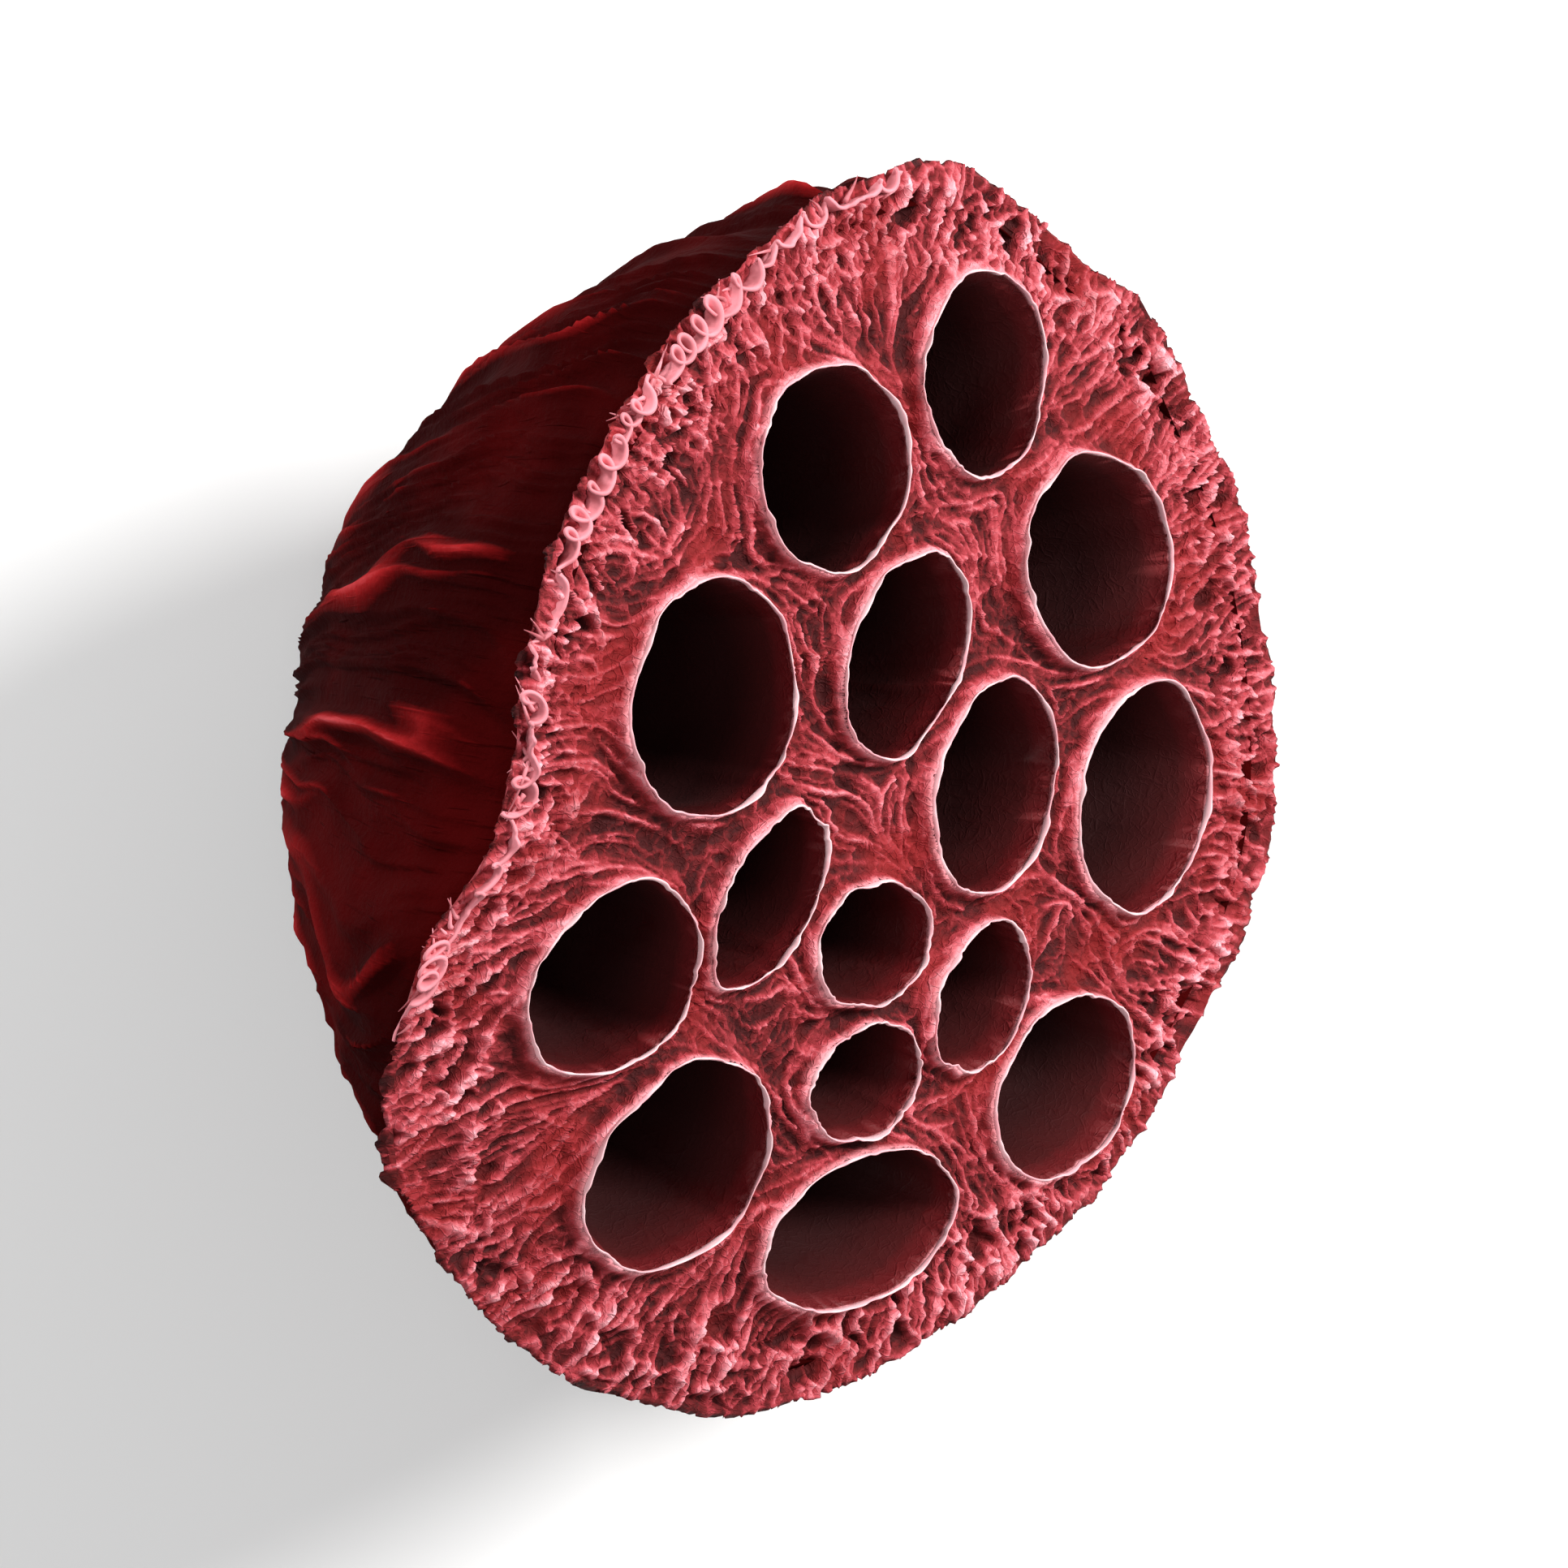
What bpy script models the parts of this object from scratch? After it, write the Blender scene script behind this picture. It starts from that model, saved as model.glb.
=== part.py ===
"""Dried lotus seed pod, cut from its stalk and lying on its side: one woody shell with fifteen open seed cells."""

import math

import bmesh
import bpy
from mathutils import Matrix, Vector

MM = 0.001

# Size. Lengths are in millimetres until the finished mesh is scaled to metres.
POD_DEPTH = 51.5  # from the seed face to the root of the stalk
STUB_LENGTH = 2.0  # what is left of the cut stalk, which bends up off the ground
STUB_RADIUS = 4.1
STUB_BEND = 1.8
FACE_DOME = 0.8  # the middle of the seed face stands this far above its edge
AROUND = 80  # corners in each ring of the shell

# The pod's own directions while it is modelled: X and Y lie in the seed face and Z points out of it.
# Angle 0 is the side that the pod lies on. Each entry: angle in degrees, radius, height above the face plane.
RIM = [
    (0, 44.4, 0.3), (25, 43.8, 0.0), (48, 42.8, 0.0), (60, 43.6, 0.0), (72, 42.6, 0.0),
    (92, 44.8, -0.5), (110, 43.6, -0.5), (130, 42.2, 0.2), (150, 42.4, 0.6), (168, 42.2, 0.6), (188, 40.6, -0.8),
    (202, 45.5, -5.5), (218, 48.2, -8.5), (236, 48.0, -8.5), (252, 46.8, -6.5), (268, 44.6, -3.0),
    (288, 40.8, -0.5), (308, 39.4, 0.0), (335, 41.2, 0.0),
]
RIM_MEAN = 42.0
RIM_ROUNDING = 0.9  # how far the outer edge of the face rolls over towards the wall

# Shape of the wall, from the rim to the stalk: depth, and radius as a share of the rim's.
WALL = [
    (2.5, 1.0), (8, 0.98), (15, 0.93), (22, 0.845), (29, 0.745), (34.5, 0.645), (39, 0.548), (43, 0.447),
    (46.5, 0.343), (49.5, 0.235), (51.5, 0.125),
]
STALK_SHIFT = 2.0  # the stalk sits a little off the middle
PLEAT_DEPTH = 0.45

# Share of the rim's radius at each ring of the seed face.
FACE_RINGS = [0.16, 0.34, 0.52, 0.68, 0.82, 0.92]

# Seed cells, each an oval cup: middle X and Y, long and short width of the mouth, turn of the long width, depth.
CELLS = [
    (2.2, 30.0, 15.0, 13.8, 100, 17),
    (-13.4, 22.2, 16.6, 14.8, 0, 18),
    (18.0, 19.0, 18.2, 15.6, -12, 19),
    (-23.2, 5.2, 17.4, 17.0, 0, 18),
    (-3.2, 9.8, 16.2, 12.2, 60, 18),
    (8.8, 1.2, 16.4, 13.8, 72, 19),
    (26.8, 2.0, 17.6, 16.0, 75, 19),
    (-14.0, -8.2, 14.6, 8.8, 62, 15),
    (-2.6, -10.8, 12.4, 9.2, 12, 15),
    (10.7, -13.8, 12.0, 9.8, 55, 15),
    (-1.0, -20.6, 11.8, 8.4, 18, 14),
    (-26.6, -15.0, 15.0, 13.2, 40, 15),
    (-16.6, -27.2, 16.6, 14.4, 50, 16),
    (1.2, -31.4, 19.4, 11.4, 18, 16),
    (22.0, -19.8, 17.2, 13.4, 25, 18),
]
CELL_AIM = 85.0  # every cell points at one spot this far below the face
CELL_TAPER = [(0.0, 1.0), (0.4, 0.93), (0.7, 0.78), (0.89, 0.56), (1.0, 0.26)]
CELL_AROUND = 18
LIP_HEIGHT = 0.55  # papery edge raised round each mouth
LIP_WIDTH = 0.75
LIP_ROOT = 2.5

# How it lies: on the round of its wall, which has dried a little flat there.
LEAN = 50.0  # the face looks this far above the ground, in degrees
FLAT_AT = 43.2  # distance of the flat from the middle of the seed face
FLAT_BLEND = 0.6


def through(points, angle, column):
    """A smooth closed curve through a list of entries that each start with an angle."""
    count = len(points)
    angle %= 360
    here = max(i for i in range(count) if points[i][0] <= angle)
    before, after, beyond = (here - 1) % count, (here + 1) % count, (here + 2) % count
    gap = (points[after][0] - points[here][0]) % 360
    gap_before = (points[here][0] - points[before][0]) % 360
    gap_beyond = (points[beyond][0] - points[after][0]) % 360
    value = [points[i][column] for i in (before, here, after, beyond)]
    start = (value[2] - value[0]) / (gap + gap_before) * gap
    end = (value[3] - value[1]) / (gap + gap_beyond) * gap
    t = (angle - points[here][0]) / gap
    return (
        (2 * t**3 - 3 * t**2 + 1) * value[1]
        + (t**3 - 2 * t**2 + t) * start
        + (3 * t**2 - 2 * t**3) * value[2]
        + (t**3 - t**2) * end
    )


def face_height(x, y):
    """Height of the seed face: a low dome whose edge follows the rim up and down."""
    angle = math.degrees(math.atan2(y, x))
    share = min(math.hypot(x, y) / through(RIM, angle, 1), 1.05)
    return through(RIM, angle, 2) * share**3 + FACE_DOME * (1 - share**2)


def face_point(angle, share):
    radius = through(RIM, angle, 1) * share
    x = radius * math.cos(math.radians(angle))
    y = radius * math.sin(math.radians(angle))
    return Vector((x, y, face_height(x, y)))


def pleat(angle, down):
    """Lengthwise folds in the dry wall, deepest half way down."""
    turn = math.radians(angle)
    folds = math.cos(17 * turn + 0.6) + 0.6 * math.cos(26 * turn + 2.1) + 0.4 * math.cos(11 * turn + 4.0)
    return PLEAT_DEPTH * 0.6 * folds * math.sin(math.pi * down) ** 0.7


def wall_point(angle, depth, share):
    down = depth / POD_DEPTH
    turn = math.radians(angle)
    radius = RIM_MEAN + (through(RIM, angle, 1) - RIM_MEAN) * (1 - down) ** 2.5
    radius = radius * share + pleat(angle, down)
    height = through(RIM, angle, 2) * (1 - down) ** 2 - depth
    return rested(Vector((radius * math.cos(turn), STALK_SHIFT * down + radius * math.sin(turn), height)))


def rested(point):
    """Presses a point of the wall back to the flat that the pod lies on, with a soft edge round the flat."""
    lean = math.radians(LEAN)
    downwards = Vector((math.cos(lean), 0, -math.sin(lean)))
    reach = point.dot(downwards) - (FLAT_AT - FLAT_BLEND)
    if reach <= 0:
        return point
    kept = FLAT_BLEND if reach > 2 * FLAT_BLEND else reach - reach * reach / (4 * FLAT_BLEND)
    return point - downwards * (reach - kept)


def lofted(name, rings, first_tip=None, last_tip=None):
    """A closed mesh through rings of points, each end shut by a fan round a tip, or by one flat face."""
    mesh = bmesh.new()
    rows = [[mesh.verts.new(point) for point in ring] for ring in rings]
    count = len(rings[0])
    for above, below in zip(rows, rows[1:]):
        for i in range(count):
            k = (i + 1) % count
            mesh.faces.new((above[i], below[i], below[k], above[k]))
    for row, tip, flip in ((rows[0], first_tip, False), (rows[-1], last_tip, True)):
        if tip is None:
            mesh.faces.new(row[::-1] if flip else row)
            continue
        middle = mesh.verts.new(tip)
        for i in range(count):
            pair = (row[i], row[(i + 1) % count])
            mesh.faces.new((middle, *(pair[::-1] if flip else pair)))
    bmesh.ops.recalc_face_normals(mesh, faces=mesh.faces)
    data = bpy.data.meshes.new(name)
    mesh.to_mesh(data)
    mesh.free()
    for face in data.polygons:
        face.use_smooth = True
    thing = bpy.data.objects.new(name, data)
    bpy.context.scene.collection.objects.link(thing)
    return thing


def make_shell():
    """The whole outside: the seed face, the rolled rim, the wall and the cut stalk."""
    angles = [360 * i / AROUND for i in range(AROUND)]
    rings = [[face_point(angle, share) for angle in angles] for share in FACE_RINGS]
    rings.append([face_point(angle, 0.975) - Vector((0, 0, 0.15)) for angle in angles])
    rings.append([face_point(angle, 1.0) - Vector((0, 0, RIM_ROUNDING)) for angle in angles])
    for depth, share in WALL:
        rings.append([wall_point(angle, depth, share) for angle in angles])
    for share in (0.3, 1.0):
        middle = Vector((-STUB_BEND * share, STALK_SHIFT, -POD_DEPTH - STUB_LENGTH * share))
        turns = [math.radians(angle) for angle in angles]
        rings.append([middle + Vector((STUB_RADIUS * math.cos(t), STUB_RADIUS * math.sin(t), 0)) for t in turns])
    tip = Vector((-STUB_BEND, STALK_SHIFT, -POD_DEPTH - STUB_LENGTH))
    return lofted("lotus_pod", rings, Vector((0, 0, FACE_DOME)), tip)


def oval(cell, grow, scale=1.0):
    """Points of a cell's mouth, made wider by grow and then scaled about its middle."""
    x, y, long_width, short_width, turn, _ = cell
    lean = math.radians(turn)
    points = []
    for i in range(CELL_AROUND):
        a = 2 * math.pi * i / CELL_AROUND
        u = scale * (long_width / 2 + grow) * math.cos(a)
        v = scale * (short_width / 2 + grow) * math.sin(a)
        points.append((x + u * math.cos(lean) - v * math.sin(lean), y + u * math.sin(lean) + v * math.cos(lean)))
    return points


def make_lip(cell, name):
    """A low collar that follows the face round one mouth, to be joined to the shell."""
    rings = []
    for grow, rise in ((LIP_WIDTH * 0.6, LIP_HEIGHT), (LIP_WIDTH, LIP_HEIGHT * 0.3), (LIP_WIDTH * 1.2, -LIP_ROOT)):
        rings.append([Vector((x, y, face_height(x, y) + rise)) for x, y in oval(cell, grow)])
    x, y = cell[:2]
    top = Vector((x, y, face_height(x, y) + LIP_HEIGHT))
    root = Vector((x, y, face_height(x, y) - LIP_ROOT))
    return lofted(name, rings, top, root)


def make_cup(cell, name):
    """The hollow of one cell: a round-bottomed oval cup that starts clear above the face."""
    x, y, _, _, _, depth = cell
    mouth = Vector((x, y, face_height(x, y)))
    axis = (Vector((0, 0, -CELL_AIM)) - mouth).normalized()
    rings = []
    for share, scale in [(-0.2, 1.0)] + CELL_TAPER:
        shift = axis * depth * share
        follow = 1 - max(share, 0)  # the mouth follows the face, and the bottom is level
        ring = []
        for px, py in oval(cell, 0, scale):
            level = mouth.z + (face_height(px, py) - mouth.z) * follow
            ring.append(Vector((px, py, level)) + shift)
        rings.append(ring)
    top = mouth + axis * depth * -0.2
    bottom = mouth + axis * depth * 1.03
    return lofted(name, rings, top, bottom)


def helpers(name, things):
    """Puts shapes that only serve a Boolean into a collection of their own, out of the render."""
    group = bpy.data.collections.new(name)
    bpy.context.scene.collection.children.link(group)
    for thing in things:
        bpy.context.scene.collection.objects.unlink(thing)
        group.objects.link(thing)
        thing.hide_render = True
        thing.display_type = "WIRE"
    return group


def join_or_cut(thing, group, operation):
    step = thing.modifiers.new(group.name, "BOOLEAN")
    step.operand_type = "COLLECTION"
    step.collection = group
    step.operation = operation
    step.solver = "EXACT"


def lay_down(things):
    """Turns everything from the pod's own directions to how it lies, on the ground and centred over the origin."""
    lean = math.radians(LEAN)
    turn = Matrix((
        (math.sin(lean), 0, math.cos(lean)),
        (0, 1, 0),
        (-math.cos(lean), 0, math.sin(lean)),
    )).to_4x4()
    corners = [turn @ vertex.co for vertex in things[0].data.vertices]
    low = [min(corner[i] for corner in corners) for i in range(3)]
    high = [max(corner[i] for corner in corners) for i in range(3)]
    shift = Matrix.Translation((-(low[0] + high[0]) / 2, -(low[1] + high[1]) / 2, -low[2]))
    for thing in things:
        thing.data.transform(Matrix.Scale(MM, 4) @ shift @ turn)


def dry_wood():
    material = bpy.data.materials.new("dyed dry pod")
    material.use_nodes = True
    shader = material.node_tree.nodes["Principled BSDF"]
    shader.inputs["Base Color"].default_value = (0.26, 0.016, 0.030, 1)
    shader.inputs["Roughness"].default_value = 0.62
    shader.inputs["Metallic"].default_value = 0.0
    return material


for leftover in list(bpy.data.objects):
    bpy.data.objects.remove(leftover)

pod = make_shell()
lips = [make_lip(cell, f"lip {i + 1}") for i, cell in enumerate(CELLS)]
cups = [make_cup(cell, f"cup {i + 1}") for i, cell in enumerate(CELLS)]
lay_down([pod, *lips, *cups])
join_or_cut(pod, helpers("raised lips", lips), "UNION")
join_or_cut(pod, helpers("seed cells", cups), "DIFFERENCE")
pod.data.materials.append(dry_wood())
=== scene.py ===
"""Looks of a dried lotus seed pod, dyed crimson: seed face, woody wall, papery lips and curled rim frill."""

import math

import bpy
import numpy as np
from mathutils import Matrix, Vector


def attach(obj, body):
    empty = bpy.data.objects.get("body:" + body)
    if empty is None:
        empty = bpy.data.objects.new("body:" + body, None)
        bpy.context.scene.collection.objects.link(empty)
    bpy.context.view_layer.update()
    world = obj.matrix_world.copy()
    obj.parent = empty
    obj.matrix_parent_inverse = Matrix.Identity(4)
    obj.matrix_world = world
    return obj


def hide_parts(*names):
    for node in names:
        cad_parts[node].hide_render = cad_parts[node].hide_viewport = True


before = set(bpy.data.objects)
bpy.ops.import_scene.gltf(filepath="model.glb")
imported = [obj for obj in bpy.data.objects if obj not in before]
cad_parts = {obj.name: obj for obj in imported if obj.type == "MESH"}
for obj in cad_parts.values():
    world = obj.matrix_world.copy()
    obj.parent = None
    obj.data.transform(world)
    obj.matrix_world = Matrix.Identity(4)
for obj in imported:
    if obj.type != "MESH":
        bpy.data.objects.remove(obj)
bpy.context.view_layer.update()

# ---------------------------------------------------------------- the pod's measures, in millimetres

LEAN = math.radians(50)  # the seed face looks this far above the floor
FACE_MIDDLE = np.array([4.654, 0.208, 43.2])  # where the middle of the seed face is
FACE_RADIUS = 42  # middling radius of the rim
POD_DEPTH = 51.5  # from the face to the root of the stalk
STALK_SHIFT = 2.0  # how far to one side the stalk is
FLAT_AT, FLAT_BLEND = 43.2, 0.6  # the flat that the pod lies on

# Edge of the seed face: angle in degrees from its lowest side, radius, height above the face plane.
RIM = [
    (0, 44.4, 0.3), (25, 43.8, 0.0), (48, 42.8, 0.0), (60, 43.6, 0.0), (72, 42.6, 0.0),
    (92, 44.8, -0.5), (110, 43.6, -0.5), (130, 42.2, 0.2), (150, 42.4, 0.6), (168, 42.2, 0.6),
    (188, 40.6, -0.8),
    (202, 45.5, -5.5), (218, 48.2, -8.5), (236, 48.0, -8.5), (252, 46.8, -6.5), (268, 44.6, -3.0),
    (288, 40.8, -0.5), (308, 39.4, 0.0), (335, 41.2, 0.0),
]
# Wall: depth below the face, and how wide the pod still is there, as a share of its rim.
WALL = [
    (0, 1.0), (2.5, 1.0), (8, 0.98), (15, 0.93), (22, 0.845), (29, 0.745), (34.5, 0.645), (39, 0.548),
    (43, 0.447), (46.5, 0.343), (49.5, 0.235), (51.5, 0.125),
]

# Seed cells: middle, long and short width, turn of the long width in degrees, depth,
# how much one end is wider than the other, and where the wide end is.
CELLS = [
    (2.2, 30.0, 15.0, 13.8, 100, 17, 0.10, 90),
    (-13.4, 22.2, 16.6, 14.8, 0, 18, 0.00, 0),
    (18.0, 19.0, 18.2, 15.6, -12, 19, 0.03, 200),
    (-23.2, 5.2, 17.4, 17.0, 0, 18, 0.03, 270),
    (-3.2, 9.8, 16.2, 12.2, 60, 18, 0.03, 60),
    (8.8, 1.2, 16.4, 13.8, 72, 19, 0.04, 80),
    (26.8, 2.0, 17.6, 16.0, 75, 19, 0.03, 80),
    (-14.0, -8.2, 14.6, 8.8, 62, 15, 0.02, 240),
    (-2.6, -10.8, 12.4, 9.2, 12, 15, 0.02, 0),
    (10.7, -13.8, 12.0, 9.8, 55, 15, 0.02, 60),
    (-1.0, -20.6, 11.8, 8.4, 18, 14, 0.02, 0),
    (-26.6, -15.0, 15.0, 13.2, 40, 15, 0.04, 200),
    (-16.6, -27.2, 16.6, 14.4, 50, 16, 0.06, 240),
    (1.2, -31.4, 19.4, 11.4, 18, 16, 0.08, 20),
    (22.0, -19.8, 17.2, 13.4, 25, 18, 0.03, 30),
]
CELL_AIM = 85.0  # depth of the point that the cells slant towards
# Side of a cell: share of its depth, and how wide it still is there.
CUP_SHAPE = [(0.0, 1.0), (0.4, 0.93), (0.7, 0.78), (0.89, 0.56), (1.0, 0.26), (1.03, 0.0)]


def along_rim(angle, column):
    """A smooth closed curve through the rim's entries; angles in degrees, as an array."""
    at = np.array([entry[0] for entry in RIM], float)
    value = np.array([entry[column] for entry in RIM], float)
    angle = np.mod(angle, 360)
    here = np.searchsorted(at, angle, side="right") - 1
    count = len(RIM)
    before, after, beyond = (here - 1) % count, (here + 1) % count, (here + 2) % count
    gap = np.mod(at[after] - at[here], 360)
    start = (value[after] - value[before]) / (gap + np.mod(at[here] - at[before], 360)) * gap
    end = (value[beyond] - value[here]) / (gap + np.mod(at[beyond] - at[after], 360)) * gap
    t = (angle - at[here]) / gap
    bend = (2 * t**3 - 3 * t**2 + 1) * value[here] + (t**3 - 2 * t**2 + t) * start
    return bend + (3 * t**2 - 2 * t**3) * value[after] + (t**3 - t**2) * end


def step_between(value, low, high):
    share = np.clip((value - low) / (high - low), 0, 1)
    return share * share * (3 - 2 * share)


def lattice_noise(x, y, seed, wrap=0):
    """Smooth noise from -1 to 1 with one lump per unit; wrap makes x repeat after that many units."""
    table = np.random.default_rng(seed).uniform(-1, 1, (256, 256))
    x0, y0 = np.floor(x).astype(int), np.floor(y).astype(int)
    fx, fy = x - x0, y - y0
    fx, fy = fx * fx * (3 - 2 * fx), fy * fy * (3 - 2 * fy)
    x1 = x0 + 1
    if wrap:
        x0, x1 = x0 % wrap, x1 % wrap
    x0, x1, y1, y0 = x0 & 255, x1 & 255, (y0 + 1) & 255, y0 & 255
    low = table[x0, y0] * (1 - fx) + table[x1, y0] * fx
    high = table[x0, y1] * (1 - fx) + table[x1, y1] * fx
    return low * (1 - fy) + high * fy


def lumps(x, y, seed, octaves=3):
    total, size = 0, 1.0
    for octave in range(octaves):
        total = total + size * lattice_noise(x * 2**octave, y * 2**octave, seed + octave)
        size *= 0.5
    return total / 1.6


def creases(x, y, seed, wrap=0):
    """Sharp-crested noise from 0 to 1."""
    return (1 - np.abs(lattice_noise(x, y, seed, wrap))) ** 3


def net(x, y, seed, wrap=0):
    """A net with about one mesh per unit: how far each point is from a thread, and a number for its mesh."""
    offset_x, offset_y, own = np.random.default_rng(seed).uniform(0.08, 0.92, (3, 256, 256))
    x0, y0 = np.floor(x).astype(int), np.floor(y).astype(int)
    first, second, mesh = np.full(x.shape, 9.0), np.full(x.shape, 9.0), np.zeros(x.shape)
    for i in (-1, 0, 1):
        for j in (-1, 0, 1):
            column = (x0 + i) % wrap if wrap else (x0 + i) & 255
            row = (y0 + j) & 255
            far = np.hypot(x0 + i + offset_x[column, row] - x, y0 + j + offset_y[column, row] - y)
            second = np.minimum(second, np.maximum(far, first))
            mesh = np.where(far < first, own[column, row], mesh)
            first = np.minimum(first, far)
    return second - first, mesh


def stood(s, t, w):
    """From the pod's own directions, in millimetres, to where the pod lies, in metres."""
    x = s * math.sin(LEAN) + w * math.cos(LEAN)
    z = -s * math.cos(LEAN) + w * math.sin(LEAN)
    return (np.stack([x, t, z], -1) + FACE_MIDDLE) * 0.001


# ---------------------------------------------------------------- the outlines of the seed cells

def cell_outline(number, angle):
    """Radius of a mouth as a share of its oval: a few flatter sides, one wide end and small nicks."""
    wide, wide_at = CELLS[number][6:]
    chance = np.random.default_rng(100 + number)
    size = (CELLS[number][2] + CELLS[number][3]) / 4
    corners = 0.016 * np.cos(5 * angle + chance.uniform(0, 6))
    corners = corners + 0.012 * np.cos(7 * angle + chance.uniform(0, 6))
    corners = corners + 0.012 * np.cos(3 * angle + chance.uniform(0, 6))
    along = (angle / (2 * np.pi)) % 1
    nicks = 0.12 * lattice_noise(along * 22, 0 * along + 3.1 * number, 91, 22)
    nicks = nicks + 0.16 * np.maximum(lattice_noise(along * 64, 0 * along + 1.7 * number, 92, 64), 0) ** 1.3
    turn = math.radians(wide_at - CELLS[number][4])
    return 0.985 + corners * min(1.0, 6.5 / size) + wide * np.cos(angle - turn) - nicks / size


def in_cell(number, s, t):
    """Share of the way from a cell's middle to its mouth's edge, and the angle about the middle."""
    x, y, long_width, short_width, turn = CELLS[number][:5]
    lean = math.radians(turn)
    u = ((s - x) * math.cos(lean) + (t - y) * math.sin(lean)) / (long_width / 2)
    v = (-(s - x) * math.sin(lean) + (t - y) * math.cos(lean)) / (short_width / 2)
    angle = np.arctan2(v, u)
    return np.hypot(u, v) / cell_outline(number, angle), angle


# ---------------------------------------------------------------- relief of the seed face

STEP = 0.125  # spacing of the square sheet that holds the relief
HALF = 52.0  # half its width
across = np.arange(-HALF, HALF, STEP)
S, T = np.meshgrid(across, across, indexing="ij")


def blurred(sheet, width):
    """The sheet with its detail below about this width, in millimetres, smoothed away."""
    rows, columns = sheet.shape
    f, g = np.fft.fftfreq(rows, STEP)[:, None], np.fft.rfftfreq(columns, STEP)[None, :]
    fade = np.exp(-2 * (np.pi * width) ** 2 * (f * f + g * g))
    return np.fft.irfft2(np.fft.rfft2(sheet) * fade, sheet.shape)


def look_up(sheet, s, t):
    x, y = (s + HALF) / STEP, (t + HALF) / STEP
    x, y = np.clip(x, 0, len(across) - 1.001), np.clip(y, 0, len(across) - 1.001)
    x0, y0 = x.astype(int), y.astype(int)
    fx, fy = x - x0, y - y0
    low = sheet[x0, y0] * (1 - fx) + sheet[x0 + 1, y0] * fx
    high = sheet[x0, y0 + 1] * (1 - fx) + sheet[x0 + 1, y0 + 1] * fx
    return low * (1 - fy) + high * fy


turn_sheet = np.degrees(np.arctan2(T, S))
rho = np.hypot(S, T)
rim_radius = along_rim(turn_sheet, 1)
rim_gap = rim_radius - rho
share = np.minimum(rho / rim_radius, 1.05)
dome = along_rim(turn_sheet, 2) * share**3 + 0.8 * (1 - share**2)

mouth_gap = np.full(S.shape, 99.0)  # distance outside the nearest mouth
mouth_turn = np.zeros(S.shape)
nearest = np.zeros(S.shape)
second_gap = np.full(S.shape, 99.0)
for number in range(len(CELLS)):
    q, angle = in_cell(number, S, T)
    slope = np.hypot(*np.gradient(q, STEP))
    gap = (q - 1) / np.maximum(slope, 0.02)
    closer = gap < mouth_gap
    second_gap = np.where(closer, mouth_gap, np.minimum(second_gap, gap))
    mouth_turn = np.where(closer, angle, mouth_turn)
    nearest = np.where(closer, number, nearest)
    mouth_gap = np.minimum(mouth_gap, gap)

slope_s, slope_t = np.gradient(blurred(np.minimum(mouth_gap, 12), 0.25), STEP)
round_mouth = np.arctan2(slope_t, slope_s) + np.pi / 2
outwards = np.arctan2(T, S)
wander = np.pi * lumps(S / 9, T / 9, 11, 2)
by_mouth = np.exp(-((np.maximum(mouth_gap, 0) / 2.4) ** 2)) + 0.15
by_rim = 1.3 * step_between(rim_gap, 13, 5)
flow_c = by_mouth * np.cos(2 * round_mouth) + by_rim * np.cos(2 * outwards) + 0.55 * np.cos(2 * wander)
flow_s = by_mouth * np.sin(2 * round_mouth) + by_rim * np.sin(2 * outwards) + 0.55 * np.sin(2 * wander)
flow = np.arctan2(flow_s, flow_c) / 2
across_mouth = np.arctan2(slope_t, slope_s)


def strands(count, lengths, widths, heights, direction, where, seed, curl):
    """Raised fibres that follow a direction sheet, laid over each other: the tallest at each spot."""
    chance = np.random.default_rng(seed)
    spots = chance.uniform(-46, 46, (count * 6, 2))
    fit = look_up(where, spots[:, 0], spots[:, 1]) > chance.uniform(0, 1, len(spots))
    spots = spots[fit][:count]
    count = len(spots)
    length = chance.uniform(*lengths, count)
    width = chance.uniform(*widths, count)
    height = chance.uniform(*heights, count)
    bend = chance.normal(0, curl, count)
    pace = 0.11
    result = np.zeros(S.shape)
    for way in (0, 1):
        here = spots.copy()
        heading = None
        alive = np.ones(count, bool)
        for tick in range(int(lengths[1] / 2 / pace)):
            ix = np.clip(((here[:, 0] + HALF) / STEP).astype(int), 0, len(across) - 1)
            iy = np.clip(((here[:, 1] + HALF) / STEP).astype(int), 0, len(across) - 1)
            lead = direction[ix, iy] + bend * tick * pace * (1 if way else -1)
            if heading is None:
                heading = lead + (np.pi if way else 0)
            turned = np.cos(lead - heading) < 0
            lead = np.where(turned, lead + np.pi, lead)
            heading = heading + 0.5 * np.arctan2(np.sin(lead - heading), np.cos(lead - heading))
            here = here + pace * np.stack([np.cos(heading), np.sin(heading)], -1)
            travelled = tick * pace / (length / 2)
            alive &= (travelled < 1) & (mouth_gap[ix, iy] > 0.1)
            if not alive.any():
                break
            fade = np.sqrt(np.maximum(1 - travelled**2, 0))
            x, y = here[alive, 0], here[alive, 1]
            wide, tall = (width * (0.45 + 0.55 * fade))[alive], (height * fade)[alive]
            cx, cy = (x + HALF) / STEP, (y + HALF) / STEP
            bx, by = np.round(cx).astype(int), np.round(cy).astype(int)
            reach = int(math.ceil(widths[1] / STEP))
            for i in range(-reach, reach + 1):
                for j in range(-reach, reach + 1):
                    far = np.hypot(bx + i - cx, by + j - cy) * STEP / wide
                    near = far < 1
                    if near.any():
                        px = np.clip(bx[near] + i, 0, len(across) - 1)
                        py = np.clip(by[near] + j, 0, len(across) - 1)
                        np.maximum.at(result, (px, py), tall[near] * (1 - far[near] ** 2))
    return result


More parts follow.
